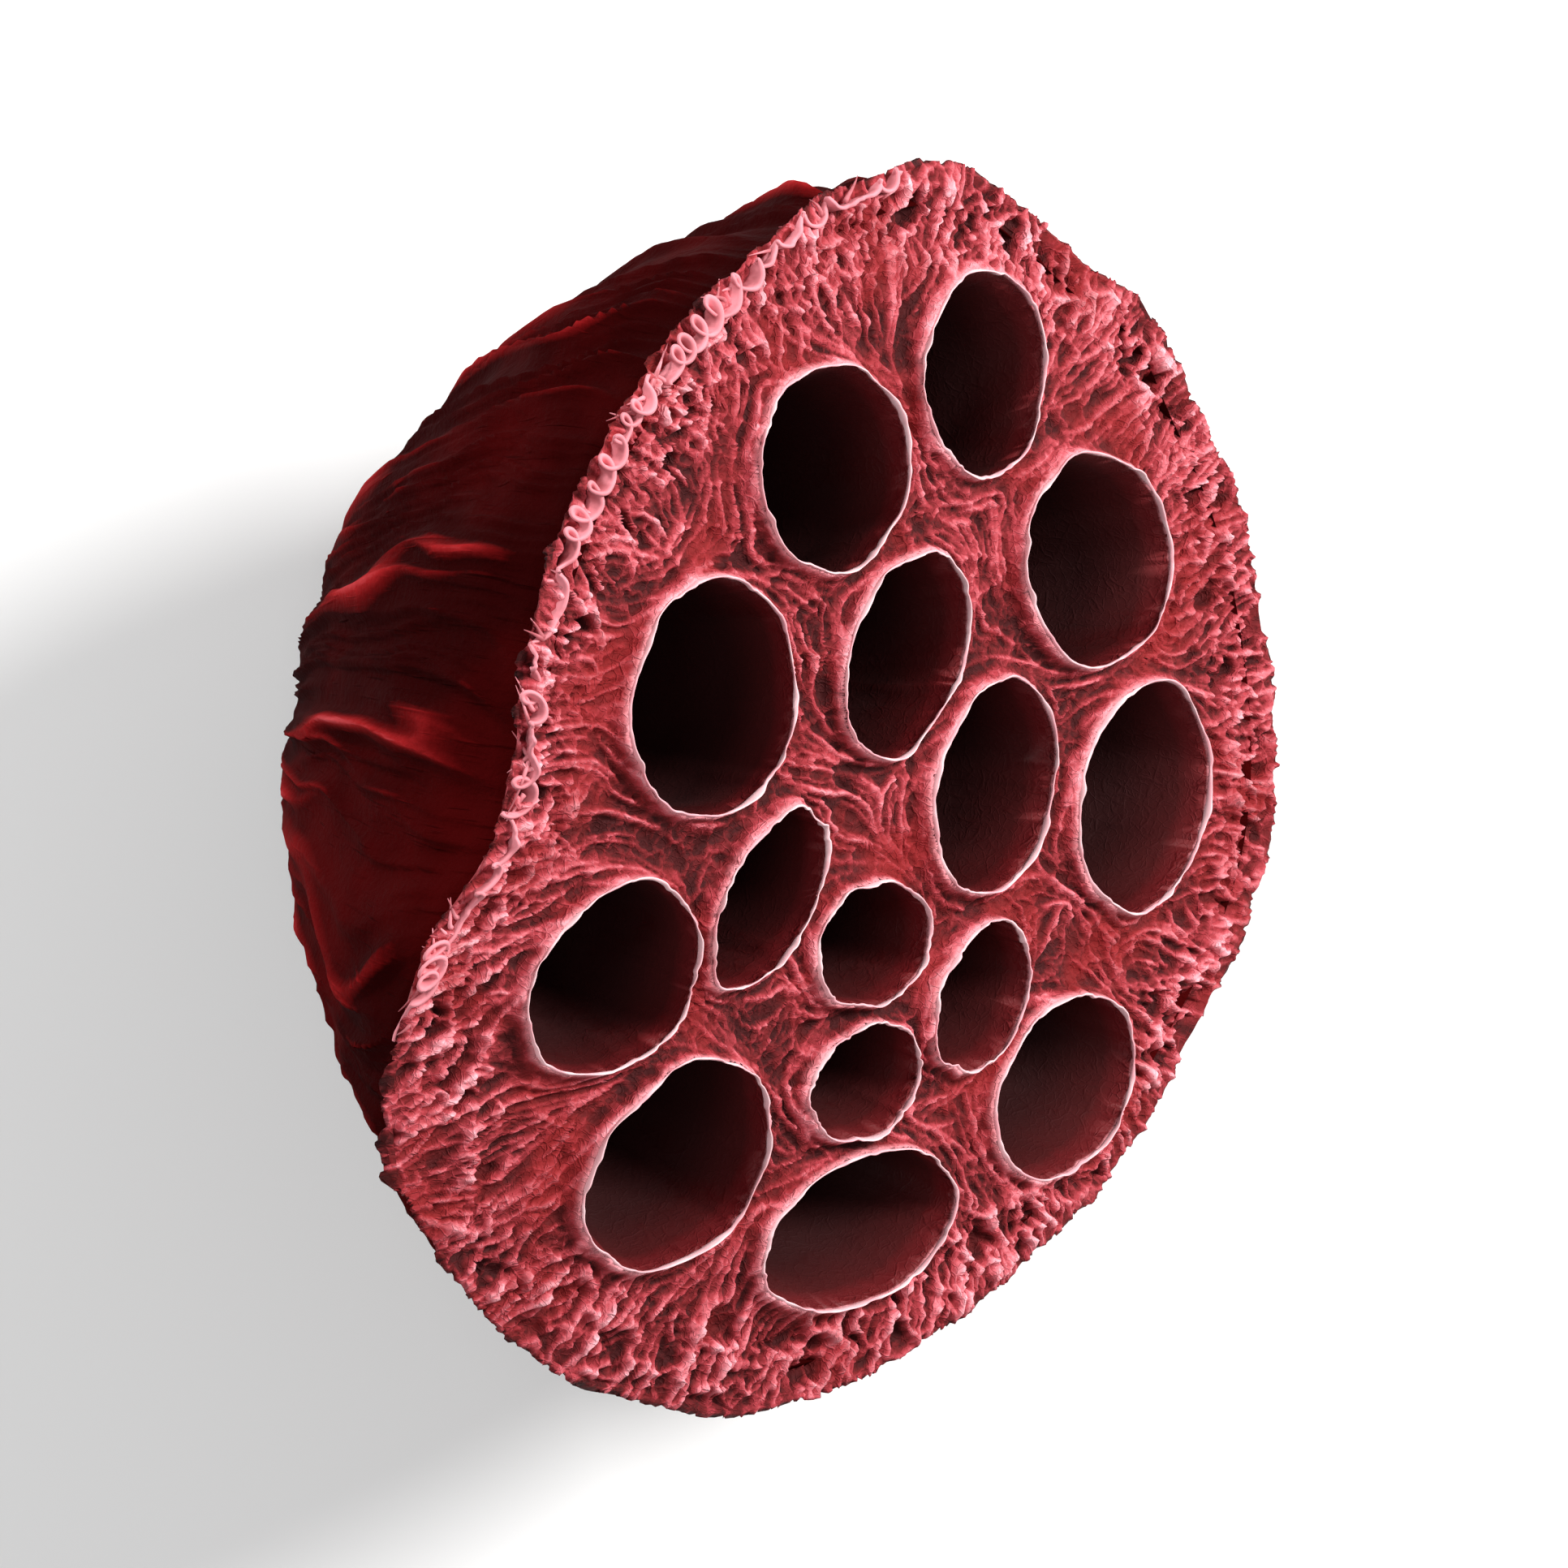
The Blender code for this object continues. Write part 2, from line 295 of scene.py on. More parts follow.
on_face = step_between(mouth_gap, 0.0, 0.4) * step_between(rim_gap, -0.5, 0.5)
band = step_between(rim_gap, 10.0, 4.5)
outside_gap = np.maximum(mouth_gap, 0)
long_strands = strands(1000, (4, 15), (0.14, 0.34), (0.25, 0.75), flow, on_face, 21, 0.06)
wandering = flow + 1.2 * lumps(S / 2, T / 2, 5)
fine_strands = strands(2600, (1.0, 4.5), (0.12, 0.20), (0.12, 0.36), wandering, on_face, 22, 0.4)
by_a_mouth = on_face * step_between(mouth_gap, 3.5, 1.5)
ribs = strands(1300, (0.8, 3.0), (0.12, 0.20), (0.12, 0.34), across_mouth, by_a_mouth, 23, 0.1)
upper_left = step_between(np.cos(np.radians(turn_sheet - 150)), 0.3, 0.8)
to_rim = outwards + 1.5 * lumps(S / 3.4, T / 3.4, 7)
on_band = on_face * band * step_between(rim_gap, 1.2, 3)
rim_strands = strands(520, (2.5, 8), (0.16, 0.46), (0.30, 0.80), to_rim, on_band, 24, 0.25)

# the middle of the face is sunken skins with a faint net of threads, and the outer band is an open net
warp_s, warp_t = 0.35 * lumps(S / 1.8, T / 1.8, 41), 0.35 * lumps(S / 1.8, T / 1.8, 45)
thread_gap, mesh_number = net(S / 2.7 + warp_s, T / 2.7 + warp_t, 46)
fine_gap, _ = net(S / 1.1 + 2 * warp_s, T / 1.1 + 2 * warp_t, 47)
turn_share = np.radians(turn_sheet) / (2 * np.pi)
long_mesh = 3.7 - 1.2 * upper_left
band_gap, band_number = net(turn_share * 92 + 2.0 * warp_s, rho / long_mesh + 1.2 * warp_t, 48, 92)
small_gap, small_number = net(turn_share * 190 + 2.5 * warp_s, rho / 1.7 + 1.6 * warp_t, 49, 190)

skins = -1.05 + 0.38 * lumps(S / 2.9, T / 2.9, 31) + 0.30 * np.exp(-((thread_gap / 0.09) ** 2))
skins = skins + 0.08 * np.exp(-((fine_gap / 0.14) ** 2))
skins = skins - 0.35 * step_between(thread_gap, 0.05, 0.6) * (mesh_number > 0.7)
meshes = -0.80 + 0.45 * lumps(S / 3.1, T / 3.1, 32) + 0.60 * np.exp(-((band_gap / 0.12) ** 2))
meshes = meshes + 0.16 * np.exp(-((small_gap / 0.15) ** 2))
meshes = meshes - 1.1 * step_between(band_gap, 0.10, 0.60) * step_between(band_number, 0.55, 0.85)
meshes = meshes - 0.35 * step_between(small_gap, 0.12, 0.5) * (small_number > 0.7)
folds = creases(turn_share * 60 + 1.4 * warp_s, rho / 6, 34, 60) - 0.4
meshes = meshes + 0.75 * folds * (1 - 0.6 * upper_left)
lip = np.exp(-((outside_gap / 0.40) ** 1.5))
shoulder = np.exp(-outside_gap / 1.5)
fibre = np.maximum(np.maximum(long_strands, fine_strands), np.maximum(0.8 * ribs, rim_strands))
relief = skins * (1 - band) + meshes * band
relief = relief * (1 - 0.75 * lip - 0.2 * shoulder) + 0.85 * lip + 0.35 * shoulder + fibre * (1 - 0.5 * lip)
crest = 0.35 + 0.35 * lattice_noise(turn_share * 96, 0 * rho, 37, 96) + 0.55 * upper_left
relief = relief + crest * np.exp(-(((rim_gap - 0.8) / 1.3) ** 2))
relief = relief * (1 - 0.55 * step_between(rim_gap, 1.6, 0.0))
relief = np.clip(relief, -3.0, 0.9)
middle_threads = 0.40 * np.exp(-((thread_gap / 0.08) ** 2)) * (1 - band)
band_threads = 0.6 * np.exp(-((band_gap / 0.10) ** 2)) * band
threads = np.clip(np.maximum(np.maximum(middle_threads, band_threads), 1.9 * fibre), 0, 1)
# Relief less its blur: painted shade in the pits and painted light on the ridges of the face's colour.
pit_shade_ridge_light = relief - blurred(relief, 0.8)


def face_top(s, t):
    return look_up(dome + relief, s, t)


# ---------------------------------------------------------------- making the pieces

def alone(thing):
    bpy.ops.object.select_all(action="DESELECT")
    thing.select_set(True)
    bpy.context.view_layer.objects.active = thing


def fresh_grid(name, across_count, up_count):
    """A flat grid from -1 to 1 both ways, ready to be shaped."""
    bpy.ops.object.select_all(action="DESELECT")
    bpy.ops.mesh.primitive_grid_add(
        x_subdivisions=across_count, y_subdivisions=up_count, size=2, calc_uvs=False
    )
    thing = bpy.context.object
    thing.name = name
    return thing


def points_of(thing):
    points = np.empty(len(thing.data.vertices) * 3)
    thing.data.vertices.foreach_get("co", points)
    return points.reshape(-1, 3)


def move_points(thing, points):
    thing.data.vertices.foreach_set("co", np.ascontiguousarray(points, float).ravel())
    thing.data.update()


def keep(thing, name, values):
    """Stores a number or a direction for every point of a piece, for its material to read."""
    kind, field = ("FLOAT", "value") if np.ndim(values) == 1 else ("FLOAT_VECTOR", "vector")
    layer = thing.data.attributes.new(name, kind, "POINT")
    layer.data.foreach_set(field, np.ascontiguousarray(values, np.float32).ravel())


def close_up(thing):
    """Merges the points that meet at poles and seams and turns all faces outwards."""
    alone(thing)
    bpy.ops.object.mode_set(mode="EDIT")
    bpy.ops.mesh.select_all(action="SELECT")
    bpy.ops.mesh.remove_doubles(threshold=0.000002)
    bpy.ops.mesh.normals_make_consistent(inside=False)
    bpy.ops.object.mode_set(mode="OBJECT")


def thin_out(thing, most):
    """Takes points away where the surface is plain, until the piece has at most this many triangles."""
    thing.data.calc_loop_triangles()
    count = len(thing.data.loop_triangles)
    if count > most:
        alone(thing)
        step = thing.modifiers.new("thinned", "DECIMATE")
        step.ratio = most / count
        bpy.ops.object.modifier_apply(modifier=step.name)


def smooth(thing):
    alone(thing)
    bpy.ops.object.shade_smooth()


SIDE_RINGS = 9
FACE_CELLS = 420


def make_seed_face():
    """The seed face with its cells, closed underneath by a plug that fills the wall."""
    thing = fresh_grid("seed_face", FACE_CELLS, FACE_CELLS)
    a, b = points_of(thing)[:, 0], points_of(thing)[:, 1]
    wider = np.abs(a) > np.abs(b)
    r = np.where(wider, a, b)
    lead = np.where(wider, b, a) / np.where(r == 0, 1, r)
    turn = np.where(wider, np.pi / 4 * lead, np.pi / 2 - np.pi / 4 * lead) + np.where(r < 0, np.pi, 0)
    ring = np.abs(r) * FACE_CELLS / 2
    last = FACE_CELLS / 2 - SIDE_RINGS
    share = np.minimum(ring / last, 1)
    degrees = np.degrees(turn) % 360
    edge = along_rim(degrees, 1) + rim_ragged(turn)
    s, t = edge * share * np.cos(turn), edge * share * np.sin(turn)

    cup = np.zeros(len(s))
    cup_depth = np.zeros(len(s))
    inside = np.full(len(s), -1)
    spacing = 84 / FACE_CELLS
    for number, cell in enumerate(CELLS):
        q, angle = in_cell(number, s, t)
        x, y, long_width, short_width = cell[:4]
        size = (long_width + short_width) / 4
        snap = np.abs(q - 1) * size < spacing * 0.5
        snap |= (q < 1) & (q > 1 - spacing * 0.6 / size)
        s = np.where(snap, x + (s - x) / q, s)
        t = np.where(snap, y + (t - y) / q, t)
        q = np.where(snap, 1, q)
        inside = np.where(q < 1, number, inside)
    w = face_top(s, t)
    depths = np.array([entry[0] for entry in CUP_SHAPE])
    widths = np.array([entry[1] for entry in CUP_SHAPE])
    for number, cell in enumerate(CELLS):
        x, y, long_width, short_width, _, depth = cell[:6]
        mine = inside == number
        q, angle = in_cell(number, s[mine], t[mine])
        size = (long_width + short_width) / 4
        way = np.concatenate([[0], np.cumsum(np.hypot(np.diff(depths) * depth, np.diff(widths) * size))])
        go = way[-1] * (1 - q) ** 1.15
        down, wide = np.interp(go, way, depths), np.interp(go, way, widths)
        middle = np.array([x, y, look_up(dome, np.array([x]), np.array([y]))[0]])
        aim = np.array([0, 0, -CELL_AIM]) - middle
        aim = aim / np.linalg.norm(aim)
        es, et = x + (s[mine] - x) / np.maximum(q, 1e-6), y + (t[mine] - y) / np.maximum(q, 1e-6)
        top = face_top(es, et)
        ripple = 1 + 0.018 * np.sin(5 * angle + 9 * down + number) * np.minimum(down * 5, 1) * wide
        ns = x + (es - x) * wide * ripple + aim[0] * depth * down
        nt = y + (et - y) * wide * ripple + aim[1] * depth * down
        nw = middle[2] + (top - middle[2]) * np.maximum(1 - down, 0) + aim[2] * depth * down
        s[mine], t[mine], w[mine] = ns, nt, nw
        cup[mine] = down
        cup_depth[mine] = down * depth

    gap_here = look_up(mouth_gap, s, t)
    turn_here = look_up(np.cos(mouth_turn), s, t), look_up(np.sin(mouth_turn), s, t)
    keep(thing, "thread", look_up(threads, s, t) * (cup == 0))
    # The relief's height, stored for painted shade: the material darkens low parts and lightens high ones.
    keep(thing, "shade_by_height", look_up(relief, s, t))
    keep(thing, "pit_shade", look_up(pit_shade_ridge_light, s, t))
    keep(thing, "mouth_gap", np.where(cup > 0, 0, np.maximum(gap_here, 0)))
    keep(thing, "rim_gap", look_up(rim_gap, s, t))
    keep(thing, "cup_depth", cup_depth)
    radial = [FACE_RADIUS * np.cos(turn), FACE_RADIUS * np.sin(turn), np.hypot(s, t) * 0.2]
    keep(thing, "rim_grain", np.stack(radial, -1))
    numbers = np.round(look_up(nearest, s, t))
    round_mouths = [turn_here[0] * 1.6, turn_here[1] * 1.6, gap_here + 13 * numbers]
    keep(thing, "mouth_grain", np.stack(round_mouths, -1))

    beyond = ring - last
    side = beyond > 0.5
    step = np.clip(np.round(beyond[side]).astype(int), 1, SIDE_RINGS)
    inward = np.array([0, 0.35, 1.2, 2.6, 3.4, 3.6, 3.8, 3.8, 3.8, 3.8])[step]
    depth = np.array([0, 0.7, 1.3, 2.2, 6.0, 14.0, 24.0, 34.0, 42.0, 45.0])[step]
    share = np.interp(depth, [entry[0] for entry in WALL], [entry[1] for entry in WALL])
    rim_here = FACE_RADIUS + (edge[side] - FACE_RADIUS) * (1 - depth / POD_DEPTH) ** 2.5
    radius = np.maximum(rim_here * share - inward, 0.0)
    radius = np.where(step == SIDE_RINGS, 0.0, radius)
    s[side], t[side] = radius * np.cos(turn[side]), radius * np.sin(turn[side])
    w[side] = along_rim(degrees[side], 2) * (1 - depth / POD_DEPTH) ** 2 - depth
    w[side] = np.where(step == SIDE_RINGS, -45.0, w[side])
    near_edge = side.copy()
    near_edge[side] = step <= 2
    w[near_edge] += np.interp(ring[near_edge] - last, [1, 2], [0.5, 0.1])
    move_points(thing, stood(s, t, w))
    close_up(thing)
    thin_out(thing, 190000)
    smooth(thing)
    return thing


def rim_ragged(turn):
    """How far the ragged edge of the seed face stands out past its smooth outline."""
    degrees = np.degrees(turn) % 360
    along = (turn % (2 * np.pi)) / (2 * np.pi)
    left = step_between(np.cos(np.radians(degrees - 150)), 0.3, 0.8)
    knobs = 0.50 * lattice_noise(along * 66, 0 * along, 51, 66)
    knobs = knobs + 0.22 * lattice_noise(along * 140, 0 * along, 52, 140)
    teeth = np.maximum(lattice_noise(along * 300, 0 * along, 53, 300), 0) ** 1.5
    return 0.25 + knobs * (1 - 0.3 * left) + 0.04 * teeth + left * (0.15 + 0.25 * teeth)


WALL_ROUND = 1000


def make_wall():
    """The woody outside of the pod, from under the rim to the cut stalk, with folds that run to the stalk."""
    outer = [0.3, 0.7, 1.2, 1.8] + list(np.linspace(2.5, POD_DEPTH, 66))
    inner = [42.0, 30.0, 18.0, 8.0, 3.0]
    rows = [("pole", 44.0)] + [("inner", d) for d in inner] + [("outer", d) for d in outer]
    rows += [("stub", 0.25), ("stub", 0.6), ("stub", 1.0), ("end", 0.75), ("end", 0.4), ("end", 0.0)]
    thing = fresh_grid("pod_wall", WALL_ROUND, len(rows) - 1)
    points = points_of(thing)
    along = np.round((points[:, 0] + 1) / 2 * WALL_ROUND) / WALL_ROUND
    row = np.round((points[:, 1] + 1) / 2 * (len(rows) - 1)).astype(int)
    turn = along * 2 * np.pi
    degrees = np.degrees(turn) % 360
    kind = np.array([entry[0] for entry in rows])[row]
    depth = np.array([entry[1] for entry in rows])[row]
    deep = np.where((kind == "outer") | (kind == "inner"), depth, POD_DEPTH)
    down = deep / POD_DEPTH
    share = np.interp(deep, [entry[0] for entry in WALL], [entry[1] for entry in WALL])
    radius = FACE_RADIUS + (along_rim(degrees, 1) - FACE_RADIUS) * (1 - down) ** 2.5
    radius = radius * share
    height = along_rim(degrees, 2) * (1 - down) ** 2 - deep

    warp = 0.45 * lattice_noise(along * 16, deep / 15, 61, 16)
    warp = warp + 0.22 * lattice_noise(along * 40, deep / 6, 68, 40)
    big = creases(along * 40 + warp, deep / 60, 62, 40)
    mid = creases(along * 88 + 1.8 * warp, deep / 40, 63, 88)
    small = creases(along * 176 + 2.8 * warp, deep / 22, 64, 176)
    swell = lattice_noise(along * 14, deep / 30, 65, 14)
    dents = lattice_noise(along * 70 + 2 * warp, deep / 4, 67, 70)
    open_out = step_between(share, 0.12, 0.60)
    folds = 0.30 * swell + 0.85 * (big - 0.4) + 0.95 * (mid - 0.4) * (0.35 + 0.65 * open_out)
    folds = folds + (0.75 * (small - 0.4) + 0.16 * dents) * open_out
    folds = folds * step_between(deep, 0, 7) * (0.30 + 0.70 * np.minimum(share * 1.6, 1))
    low = radius * np.cos(turn) * math.cos(LEAN) - height * math.sin(LEAN)
    folds = folds * (0.25 + 0.75 * step_between(low, FLAT_AT + 0.5, FLAT_AT - 5.0))
    outer_row = kind == "outer"
    radius = radius + np.where(outer_row, folds - 0.45, 0)
    tuck = np.interp(deep, [0, 0.3, 1.2, 2.5, 6], [2.4, 2.2, 1.5, 0.8, 0.0])
    radius = radius - np.where(outer_row, tuck, 0)
    radius = np.where(kind == "inner", radius - 2.6, radius)
    shift_s = np.zeros(len(radius))
    stub = (kind == "stub") | (kind == "end")
    ragged = 0.25 * lattice_noise(along * 24, 0 * along, 66, 24)
    radius = np.where(kind == "stub", 4.1 + ragged, radius)
    radius = np.where(kind == "end", (4.0 + ragged) * depth, radius)
    fall = np.where(kind == "stub", depth * 2.0, 2.0)
    pith = np.where(kind == "end", -0.7 * (depth < 0.7) * (0.6 + 0.4 * (depth > 0.1)), 0)
    height = np.where(stub, -POD_DEPTH - fall - pith, height)
    shift_s = np.where(stub, -1.8 * np.where(kind == "stub", depth, 1.0), 0)
    radius = np.where((kind == "pole"), 0, radius)
    height = np.where(kind == "pole", -44.0, height)
    s = shift_s + radius * np.cos(turn)
    t = STALK_SHIFT * np.where(kind == "pole", 44 / POD_DEPTH, down) + radius * np.sin(turn)
    w = height
    reach = s * math.cos(LEAN) - w * math.sin(LEAN) - (FLAT_AT - FLAT_BLEND)
    soft = np.where(reach > 2 * FLAT_BLEND, FLAT_BLEND, reach - reach**2 / (4 * FLAT_BLEND))
    press = np.where(reach > 0, reach - soft, 0) * outer_row
    s, w = s - press * math.cos(LEAN), w + press * math.sin(LEAN)
    grain = [FACE_RADIUS * np.cos(turn), FACE_RADIUS * np.sin(turn), deep * 0.09]
    keep(thing, "grain", np.stack(grain, -1))
    # The folds' height, stored for painted shade: darker in the troughs, lighter on the crests.
    keep(thing, "shade_by_height", folds)
    keep(thing, "down", np.where(stub, 1.2, down))
    move_points(thing, stood(s, t, w))
    close_up(thing)
    thin_out(thing, 150000)
    smooth(thing)
    return thing


def make_lips():
    """The thin papery edge that stands up round every mouth."""
    rings = []
    for number, cell in enumerate(CELLS):
        x, y, long_width, short_width, turn, _ = cell[:6]
        bpy.ops.object.select_all(action="DESELECT")
        bpy.ops.mesh.primitive_torus_add(
            major_segments=360, minor_segments=8, major_radius=1, minor_radius=0.25, generate_uvs=False
        )
        thing = bpy.context.object
        points = points_of(thing)
        angle = np.arctan2(points[:, 1], points[:, 0])
        out = (np.hypot(points[:, 0], points[:, 1]) - 1) / 0.25
        up = points[:, 2] / 0.25
        lean = math.radians(turn)
        edge = cell_outline(number, angle)
        u, v = edge * long_width / 2 * np.cos(angle), edge * short_width / 2 * np.sin(angle)
        s = x + u * math.cos(lean) - v * math.sin(lean)
        t = y + u * math.sin(lean) + v * math.cos(lean)
        along = (angle / (2 * np.pi)) % 1
        beads = lattice_noise(along * 70, 0 * along + number, 71, 70)
        flake = np.maximum(lattice_noise(along * 28, 0 * along + number, 72, 28), 0)
        tall = 0.15 + 0.08 * beads + 0.18 * flake
        thick = 0.085 + 0.03 * beads
        push = np.hypot(s - x, t - y)
        curl = 0.18 * lattice_noise(along * 16, 0 * along + number, 73, 16)
        grow = 1 + (out * thick + curl * (up + 1) * 0.5 - 0.02) / push
        w = face_top(s, t) + 0.02 + up * tall + 0.10 * flake
        s, t = x + (s - x) * grow, y + (t - y) * grow
        keep(thing, "thin", 0.4 + 0.6 * flake)
        move_points(thing, stood(s, t, w))
        rings.append(thing)
    bpy.ops.object.select_all(action="DESELECT")
    for thing in rings:
        thing.select_set(True)
    bpy.context.view_layer.objects.active = rings[0]
    bpy.ops.object.join()
    thing = bpy.context.object
    thing.name = "cell_lips"
    close_up(thing)
    smooth(thing)
    return thing


def rim_point(degrees, out, up):
    """Points near the edge of the seed face, this far out from the outline and up from the face."""
    degrees, out, up = np.broadcast_arrays(degrees, out, up)
    radius = along_rim(degrees, 1) + out
    turn = np.radians(degrees)
    return stood(radius * np.cos(turn), radius * np.sin(turn), along_rim(degrees, 2) + up)


FRILL_FROM, FRILL_TO = 98, 207  # degrees round the rim
FRILL_CURLS, FRILL_STEPS = 30, 1500
FRILL_THICK = 0.00024
TEETH = 30


def make_frill():
    """The curled dry frill along the side of the rim that stands highest."""
    thing = fresh_grid("rim_frill", FRILL_STEPS, 7)
    along, rise = (points_of(thing)[:, 0] + 1) / 2, (points_of(thing)[:, 1] + 1) / 2
    phase = 2 * np.pi * (FRILL_CURLS * along + 0.9 * lattice_noise(along * 26, 0 * along, 82))
    phase = phase + 5.0 * lattice_noise(along * 9, 0 * along, 86)
    size = 0.65 + 0.35 * lattice_noise(along * 30, 0 * along, 83)
    ends = step_between(along, 0, 0.05) * step_between(along, 1, 0.95)
    tall = 1.7 + 0.6 * lattice_noise(along * 44, 0 * along, 84)
    tall = (tall + 0.2 * lattice_noise(along * 190, 0 * along, 85)) * ends
    curl = size * ends * rise**1.2
    out = -1.0 + 0.8 * rise + 1.25 * curl * np.sin(phase)
    up = -0.7 + rise * tall - 0.35 * curl * (1 + np.sin(phase)) * rise
    sway = 1.1 * curl * np.cos(phase)
    keep(thing, "thin", rise**3)
    degrees = FRILL_FROM + (FRILL_TO - FRILL_FROM) * along + np.degrees(sway / FACE_RADIUS)
    move_points(thing, rim_point(degrees, out, up))
    alone(thing)
    wall = thing.modifiers.new("thickness", "SOLIDIFY")
    wall.thickness = FRILL_THICK
    wall.offset = 0
    bpy.ops.object.modifier_apply(modifier=wall.name)
    close_up(thing)
    smooth(thing)
    return thing


def make_teeth():
    """Short dry teeth that hang from the frill over the wall."""
    chance = np.random.default_rng(81)
    lines = bpy.data.curves.new("rim_teeth", "CURVE")
    lines.dimensions = "3D"
    lines.bevel_depth = 0.00022
    lines.bevel_resolution = 2
    lines.use_fill_caps = True
    for _ in range(TEETH):
        degrees = chance.uniform(FRILL_FROM + 2, FRILL_TO - 1)
        lean, length, rise = chance.normal(0, 3.2), chance.uniform(0.7, 1.4), chance.uniform(-0.4, 0.5)
        share = np.linspace(0, 1, 7)
        up = 0.3 + rise * share - 0.7 * share**3
        places = rim_point(degrees + lean * share**1.5, length * share - 0.6, up)
        spline = lines.splines.new("POLY")
        spline.points.add(6)
        for point, place, done in zip(spline.points, places, share):
            point.co = (*place, 1)
            point.radius = 0.85 * (1 - done) + 0.12
    thing = bpy.data.objects.new("rim_teeth", lines)
    bpy.context.scene.collection.objects.link(thing)
    alone(thing)
    bpy.ops.object.convert(target="MESH")
    thing = bpy.context.object
    keep(thing, "thin", np.full(len(thing.data.vertices), 0.3))
    close_up(thing)
    smooth(thing)
    return thing


# ---------------------------------------------------------------- materials

def node(tree, kind, **settings):
    made = tree.nodes.new(kind)
    for name, value in settings.items():
        setattr(made, name, value)
    return made


def wire(tree, source, target):
    tree.links.new(source, target)


def sum_of(tree, kind, first, second=None):
    """A Math node; a number or a socket may be given for each value."""
    made = node(tree, "ShaderNodeMath", operation=kind)
    for slot, value in enumerate((first, second)):
        if value is None:
            continue
        if isinstance(value, (int, float)):
            made.inputs[slot].default_value = value
        else:
            wire(tree, value, made.inputs[slot])
    return made.outputs[0]


def stored(tree, name, vector=False):
    made = node(tree, "ShaderNodeAttribute", attribute_name=name)
    return made.outputs["Vector" if vector else "Fac"]


def spread(tree, value, low, high, to_low=0.0, to_high=1.0):
    made = node(tree, "ShaderNodeMapRange", clamp=True, interpolation_type="SMOOTHSTEP")
    wire(tree, value, made.inputs["Value"])
    for name, number in (("From Min", low), ("From Max", high), ("To Min", to_low), ("To Max", to_high)):
        made.inputs[name].default_value = number
    return made.outputs["Result"]


def dyes(tree, value, stops):
    made = node(tree, "ShaderNodeValToRGB")
    ramp = made.color_ramp
    while len(ramp.elements) < len(stops):
        ramp.elements.new(0.5)
    for element, (place, colour) in zip(ramp.elements, stops):
        element.position = place
        element.color = (*colour, 1)
    wire(tree, value, made.inputs["Fac"])
    return made.outputs["Color"]


def blend(tree, factor, first, second, mode="MIX"):
    made = node(tree, "ShaderNodeMix", data_type="RGBA", blend_type=mode)
    if isinstance(factor, (int, float)):
        made.inputs[0].default_value = factor
    else:
        wire(tree, factor, made.inputs[0])
    for slot, value in ((6, first), (7, second)):
        if isinstance(value, tuple):
            made.inputs[slot].default_value = (*value, 1)
        else:
            wire(tree, value, made.inputs[slot])
    return made.outputs[2]


def grain_group():
    """Fine dry fibre: streaks along a direction that the piece stores, with a finer crumple over them."""
    tree = bpy.data.node_groups.new("dry fibre", "ShaderNodeTree")
    tree.interface.new_socket("Grain", in_out="INPUT", socket_type="NodeSocketVector")
    tree.interface.new_socket("Fineness", in_out="INPUT", socket_type="NodeSocketFloat").default_value = 2.0
    tree.interface.new_socket("Streaks", in_out="OUTPUT", socket_type="NodeSocketFloat")
    tree.interface.new_socket("Crumple", in_out="OUTPUT", socket_type="NodeSocketFloat")
    ends, out = tree.nodes.new("NodeGroupInput"), tree.nodes.new("NodeGroupOutput")
    streaks = node(tree, "ShaderNodeTexNoise", noise_type="RIDGED_MULTIFRACTAL")
    wire(tree, ends.outputs["Grain"], streaks.inputs["Vector"])
    wire(tree, ends.outputs["Fineness"], streaks.inputs["Scale"])
    streaks.inputs["Detail"].default_value = 3
    streaks.inputs["Roughness"].default_value = 0.55
    streaks.inputs["Distortion"].default_value = 0.25
    place = node(tree, "ShaderNodeTexCoord")
    crumple = node(tree, "ShaderNodeTexNoise")
    wire(tree, place.outputs["Object"], crumple.inputs["Vector"])
    crumple.inputs["Scale"].default_value = 1500
    crumple.inputs["Detail"].default_value = 4
    crumple.inputs["Roughness"].default_value = 0.6
    wire(tree, spread(tree, streaks.outputs[0], 0.1, 1.6), out.inputs["Streaks"])
    wire(tree, crumple.outputs[0], out.inputs["Crumple"])
    return tree


def dry_fibre(tree, group, grain, fineness):
    made = node(tree, "ShaderNodeGroup", node_tree=group)
    wire(tree, grain, made.inputs["Grain"])
    made.inputs["Fineness"].default_value = fineness
    return made.outputs["Streaks"], made.outputs["Crumple"]


def new_material(name, roughness):
    material = bpy.data.materials.new(name)
    material.use_nodes = True
    tree = material.node_tree
    shader = tree.nodes["Principled BSDF"]
    shader.inputs["Roughness"].default_value = roughness
    return material, tree, shader


